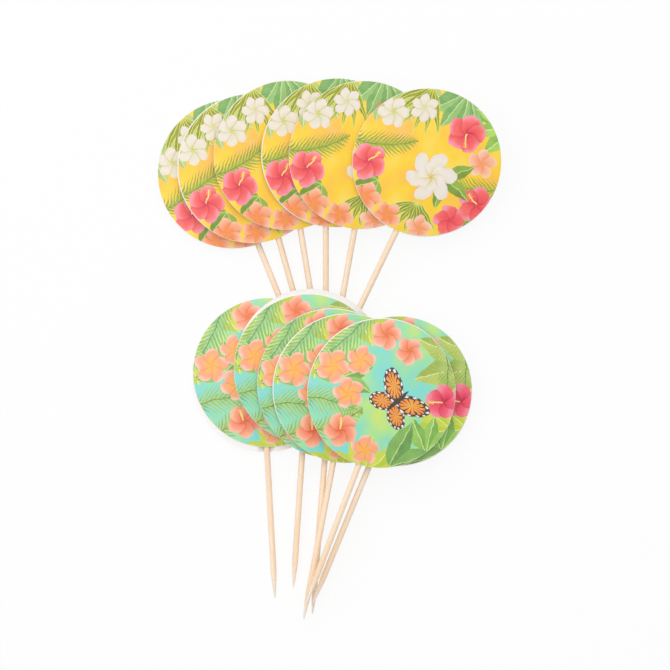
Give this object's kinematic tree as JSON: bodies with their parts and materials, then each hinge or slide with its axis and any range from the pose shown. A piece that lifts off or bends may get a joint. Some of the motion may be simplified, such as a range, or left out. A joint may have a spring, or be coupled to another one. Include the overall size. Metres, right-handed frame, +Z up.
{
  "type": "cocktail pick set",
  "caption": "Round printed card picks with a white paper back, each glued on a pointed wooden stick, laid out in a yellow fan above a turquoise fan.",
  "frame": {"origin": "middle of the laid-out set's outline, on the table that it lies on", "axes": "+Z up from the table, +Y from the turquoise fan's points towards the yellow fan's discs, +X to the right when looking down at the prints"},
  "size_m": [0.115, 0.181, 0.0194],
  "materials": {
    "yellow_printed_card": "satin",
    "aqua_printed_card": "satin",
    "stick_wood": "matte",
    "dried_glue": "gloss",
    "white_paper": "matte"
  },
  "bodies": {
    "yellow_1": {"yellow_1_front_disc": "yellow_printed_card", "yellow_1_stick": "stick_wood", "yellow_1_glue_bead": "dried_glue", "yellow_1_back_disc": "white_paper"},
    "yellow_2": {"yellow_2_front_disc": "yellow_printed_card", "yellow_2_stick": "stick_wood", "yellow_2_glue_bead": "dried_glue", "yellow_2_back_disc": "white_paper"},
    "yellow_3": {"yellow_3_front_disc": "yellow_printed_card", "yellow_3_stick": "stick_wood", "yellow_3_glue_bead": "dried_glue", "yellow_3_back_disc": "white_paper"},
    "yellow_4": {"yellow_4_front_disc": "yellow_printed_card", "yellow_4_stick": "stick_wood", "yellow_4_glue_bead": "dried_glue", "yellow_4_back_disc": "white_paper"},
    "yellow_5": {"yellow_5_front_disc": "yellow_printed_card", "yellow_5_stick": "stick_wood", "yellow_5_glue_bead": "dried_glue", "yellow_5_back_disc": "white_paper"},
    "yellow_6": {"yellow_6_front_disc": "yellow_printed_card", "yellow_6_stick": "stick_wood", "yellow_6_glue_bead": "dried_glue", "yellow_6_back_disc": "white_paper"},
    "aqua_1": {"aqua_1_front_disc": "aqua_printed_card", "aqua_1_stick": "stick_wood", "aqua_1_glue_bead": "dried_glue", "aqua_1_back_disc": "white_paper"},
    "aqua_2": {"aqua_2_front_disc": "aqua_printed_card", "aqua_2_stick": "stick_wood", "aqua_2_glue_bead": "dried_glue", "aqua_2_back_disc": "white_paper"},
    "aqua_3": {"aqua_3_front_disc": "aqua_printed_card", "aqua_3_stick": "stick_wood", "aqua_3_glue_bead": "dried_glue", "aqua_3_back_disc": "white_paper"},
    "aqua_4": {"aqua_4_front_disc": "aqua_printed_card", "aqua_4_stick": "stick_wood", "aqua_4_glue_bead": "dried_glue", "aqua_4_back_disc": "white_paper"},
    "aqua_5": {"aqua_5_front_disc": "aqua_printed_card", "aqua_5_stick": "stick_wood", "aqua_5_glue_bead": "dried_glue", "aqua_5_back_disc": "white_paper"},
    "aqua_6": {"aqua_6_front_disc": "aqua_printed_card", "aqua_6_stick": "stick_wood", "aqua_6_glue_bead": "dried_glue", "aqua_6_back_disc": "white_paper"}
  },
  "joints": [
    {"name": "yellow_2_lift", "type": "slide", "parent": "yellow_1", "child": "yellow_2", "axis": [0, 0, 1], "range_m": [0, 0.025]},
    {"name": "yellow_3_lift", "type": "slide", "parent": "yellow_2", "child": "yellow_3", "axis": [0, 0, 1], "range_m": [0, 0.025]},
    {"name": "yellow_4_lift", "type": "slide", "parent": "yellow_3", "child": "yellow_4", "axis": [0, 0, 1], "range_m": [0, 0.025]},
    {"name": "yellow_5_lift", "type": "slide", "parent": "yellow_4", "child": "yellow_5", "axis": [0, 0, 1], "range_m": [0, 0.025]},
    {"name": "yellow_6_lift", "type": "slide", "parent": "yellow_5", "child": "yellow_6", "axis": [0, 0, 1], "range_m": [0, 0.025]},
    {"name": "aqua_1_lift", "type": "slide", "parent": "yellow_6", "child": "aqua_1", "axis": [0, 0, 1], "range_m": [0, 0.025]},
    {"name": "aqua_2_lift", "type": "slide", "parent": "aqua_1", "child": "aqua_2", "axis": [0, 0, 1], "range_m": [0, 0.025]},
    {"name": "aqua_3_lift", "type": "slide", "parent": "aqua_2", "child": "aqua_3", "axis": [0, 0, 1], "range_m": [0, 0.025]},
    {"name": "aqua_4_lift", "type": "slide", "parent": "aqua_3", "child": "aqua_4", "axis": [0, 0, 1], "range_m": [0, 0.025]},
    {"name": "aqua_5_lift", "type": "slide", "parent": "aqua_4", "child": "aqua_5", "axis": [0, 0, 1], "range_m": [0, 0.025]},
    {"name": "aqua_6_lift", "type": "slide", "parent": "aqua_5", "child": "aqua_6", "axis": [0, 0, 1], "range_m": [0, 0.025]}
  ]
}
